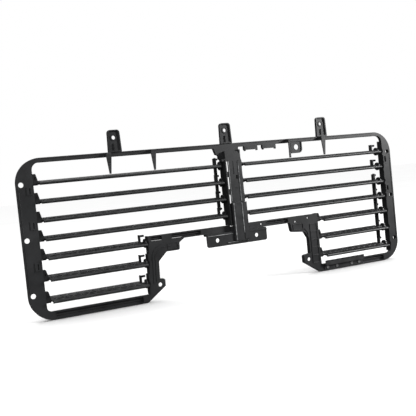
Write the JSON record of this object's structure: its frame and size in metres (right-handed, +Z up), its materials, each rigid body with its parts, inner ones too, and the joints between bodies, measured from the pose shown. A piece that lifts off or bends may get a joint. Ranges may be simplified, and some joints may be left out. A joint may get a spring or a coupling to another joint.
{
  "type": "active grille shutter",
  "caption": "Moulded radiator grille shutter: a frame with two banks of pivoting vanes joined by link bars, top tabs, side bolt holes and a central drive.",
  "frame": {"origin": "centre of the four outer side mounting holes, on the front face of the side flanges", "axes": "+X to the right, +Y from the front face to the back, +Z up"},
  "size_m": [0.896, 0.0511, 0.356],
  "materials": {
    "frame_plastic": "black glass-filled nylon, lightly textured moulding",
    "vane_plastic": "black glass-filled nylon with a streaked surface",
    "link_plastic": "black acetal",
    "bearing_plastic": "black acetal",
    "cover_plastic": "black moulded plastic",
    "gear_plastic": "natural acetal",
    "motor_steel": "plated steel",
    "screw_steel": "zinc plated steel"
  },
  "bodies": {
    "frame": {"frame_side_left": "frame_plastic", "frame_side_right": "frame_plastic", "frame_top_rail": "frame_plastic", "frame_bottom_rail_left": "frame_plastic", "frame_bottom_rail_right": "frame_plastic", "frame_post_left": "frame_plastic", "frame_post_right": "frame_plastic", "frame_notch_rail_left": "frame_plastic", "frame_notch_rail_right": "frame_plastic", "frame_centre": "frame_plastic", "mounting_tab_left": "frame_plastic", "mounting_tab_centre": "frame_plastic", "mounting_tab_right": "frame_plastic", "bearings_left_bank": "bearing_plastic", "bearings_right_bank": "bearing_plastic", "vane_stops": "vane_plastic", "drive_motor": "motor_steel", "actuator_housing": "cover_plastic", "housing_lid": "cover_plastic", "housing_screws": "screw_steel", "actuator_cover": "cover_plastic", "connector_socket": "cover_plastic", "trim_strip": "cover_plastic", "trim_strip_screws": "screw_steel", "harness_clips": "cover_plastic"},
    "output_drive": {"output_shaft": "gear_plastic", "output_gear": "gear_plastic"},
    "motor_rotor": {"motor_pinion": "gear_plastic", "motor_shaft": "motor_steel"},
    "vane_left_1": {"vane_left_1": "vane_plastic"},
    "vane_left_2": {"vane_left_2": "vane_plastic"},
    "vane_left_3": {"vane_left_3": "vane_plastic"},
    "vane_left_4": {"vane_left_4": "vane_plastic"},
    "vane_left_5": {"vane_left_5": "vane_plastic"},
    "vane_left_6": {"vane_left_6": "vane_plastic"},
    "vane_left_7": {"vane_left_7": "vane_plastic"},
    "vane_right_1": {"vane_right_1": "vane_plastic"},
    "vane_right_2": {"vane_right_2": "vane_plastic"},
    "vane_right_3": {"vane_right_3": "vane_plastic"},
    "vane_right_4": {"vane_right_4": "vane_plastic"},
    "vane_right_5": {"vane_right_5": "vane_plastic"},
    "vane_right_6": {"vane_right_6": "vane_plastic"},
    "vane_right_7": {"vane_right_7": "vane_plastic"},
    "link_bar_left": {"link_bar_left": "link_plastic"},
    "link_bar_right": {"link_bar_right": "link_plastic"},
    "drive_link_left": {"drive_link_left": "link_plastic"},
    "drive_link_centre": {"drive_link_centre": "link_plastic"}
  },
  "joints": [
    {"name": "shutter_drive", "type": "hinge", "parent": "frame", "child": "output_drive", "pos_m": [0, 0.01, 0], "axis": [-1, 0, 0], "range_deg": [0, 86]},
    {"name": "motor_spin", "type": "hinge", "parent": "frame", "child": "motor_rotor", "pos_m": [0, 0.01, -0.012], "axis": [-1, 0, 0], "range_deg": [-172, 0]},
    {"name": "vane_left_1_turn", "type": "hinge", "parent": "frame", "child": "vane_left_1", "pos_m": [-0.2, 0.01, 0.108], "axis": [-1, 0, 0], "range_deg": [0, 86]},
    {"name": "vane_left_2_turn", "type": "hinge", "parent": "frame", "child": "vane_left_2", "pos_m": [-0.2, 0.01, 0.072], "axis": [-1, 0, 0], "range_deg": [0, 86]},
    {"name": "vane_left_3_turn", "type": "hinge", "parent": "frame", "child": "vane_left_3", "pos_m": [-0.2, 0.01, 0.036], "axis": [-1, 0, 0], "range_deg": [0, 86]},
    {"name": "vane_left_4_turn", "type": "hinge", "parent": "frame", "child": "vane_left_4", "pos_m": [-0.2, 0.01, 0], "axis": [-1, 0, 0], "range_deg": [0, 86]},
    {"name": "vane_left_5_turn", "type": "hinge", "parent": "frame", "child": "vane_left_5", "pos_m": [-0.2, 0.01, -0.036], "axis": [-1, 0, 0], "range_deg": [0, 86]},
    {"name": "vane_left_6_turn", "type": "hinge", "parent": "frame", "child": "vane_left_6", "pos_m": [-0.2, 0.01, -0.077], "axis": [-1, 0, 0], "range_deg": [0, 86]},
    {"name": "vane_left_7_turn", "type": "hinge", "parent": "frame", "child": "vane_left_7", "pos_m": [-0.2, 0.01, -0.119], "axis": [-1, 0, 0], "range_deg": [0, 86]},
    {"name": "vane_right_1_turn", "type": "hinge", "parent": "frame", "child": "vane_right_1", "pos_m": [0.2, 0.01, 0.108], "axis": [-1, 0, 0], "range_deg": [0, 86]},
    {"name": "vane_right_2_turn", "type": "hinge", "parent": "frame", "child": "vane_right_2", "pos_m": [0.2, 0.01, 0.072], "axis": [-1, 0, 0], "range_deg": [0, 86]},
    {"name": "vane_right_3_turn", "type": "hinge", "parent": "frame", "child": "vane_right_3", "pos_m": [0.2, 0.01, 0.036], "axis": [-1, 0, 0], "range_deg": [0, 86]},
    {"name": "vane_right_4_turn", "type": "hinge", "parent": "frame", "child": "vane_right_4", "pos_m": [0.2, 0.01, 0], "axis": [-1, 0, 0], "range_deg": [0, 86]},
    {"name": "vane_right_5_turn", "type": "hinge", "parent": "frame", "child": "vane_right_5", "pos_m": [0.2, 0.01, -0.036], "axis": [-1, 0, 0], "range_deg": [0, 86]},
    {"name": "vane_right_6_turn", "type": "hinge", "parent": "frame", "child": "vane_right_6", "pos_m": [0.2, 0.01, -0.077], "axis": [-1, 0, 0], "range_deg": [0, 86]},
    {"name": "vane_right_7_turn", "type": "hinge", "parent": "frame", "child": "vane_right_7", "pos_m": [0.2, 0.01, -0.119], "axis": [-1, 0, 0], "range_deg": [0, 86]},
    {"name": "link_bar_left_swing", "type": "hinge", "parent": "vane_left_1", "child": "link_bar_left", "pos_m": [-0.0207, 0.0205, 0.123], "axis": [-1, 0, 0], "range_deg": [-86, 0]},
    {"name": "link_bar_right_swing", "type": "hinge", "parent": "vane_right_3", "child": "link_bar_right", "pos_m": [0.4078, 0.0205, 0.051], "axis": [-1, 0, 0], "range_deg": [-86, 0]},
    {"name": "drive_link_left_swing", "type": "hinge", "parent": "vane_left_4", "child": "drive_link_left", "pos_m": [-0.42675, 0.0205, 0.015], "axis": [-1, 0, 0], "range_deg": [-86, 0]},
    {"name": "drive_link_centre_swing", "type": "hinge", "parent": "vane_right_1", "child": "drive_link_centre", "pos_m": [0.01725, 0.0205, 0.123], "axis": [-1, 0, 0], "range_deg": [-86, 0]}
  ],
  "couplings": [
    {"joint": "motor_spin", "follows": "shutter_drive", "ratio": -2},
    {"joint": "vane_left_1_turn", "follows": "shutter_drive", "ratio": 1},
    {"joint": "vane_left_2_turn", "follows": "shutter_drive", "ratio": 1},
    {"joint": "vane_left_3_turn", "follows": "shutter_drive", "ratio": 1},
    {"joint": "vane_left_4_turn", "follows": "shutter_drive", "ratio": 1},
    {"joint": "vane_left_5_turn", "follows": "shutter_drive", "ratio": 1},
    {"joint": "vane_left_6_turn", "follows": "shutter_drive", "ratio": 1},
    {"joint": "vane_left_7_turn", "follows": "shutter_drive", "ratio": 1},
    {"joint": "vane_right_1_turn", "follows": "shutter_drive", "ratio": 1},
    {"joint": "vane_right_2_turn", "follows": "shutter_drive", "ratio": 1},
    {"joint": "vane_right_3_turn", "follows": "shutter_drive", "ratio": 1},
    {"joint": "vane_right_4_turn", "follows": "shutter_drive", "ratio": 1},
    {"joint": "vane_right_5_turn", "follows": "shutter_drive", "ratio": 1},
    {"joint": "vane_right_6_turn", "follows": "shutter_drive", "ratio": 1},
    {"joint": "vane_right_7_turn", "follows": "shutter_drive", "ratio": 1},
    {"joint": "link_bar_left_swing", "follows": "shutter_drive", "ratio": -1},
    {"joint": "link_bar_right_swing", "follows": "shutter_drive", "ratio": -1},
    {"joint": "drive_link_left_swing", "follows": "shutter_drive", "ratio": -1},
    {"joint": "drive_link_centre_swing", "follows": "shutter_drive", "ratio": -1}
  ]
}
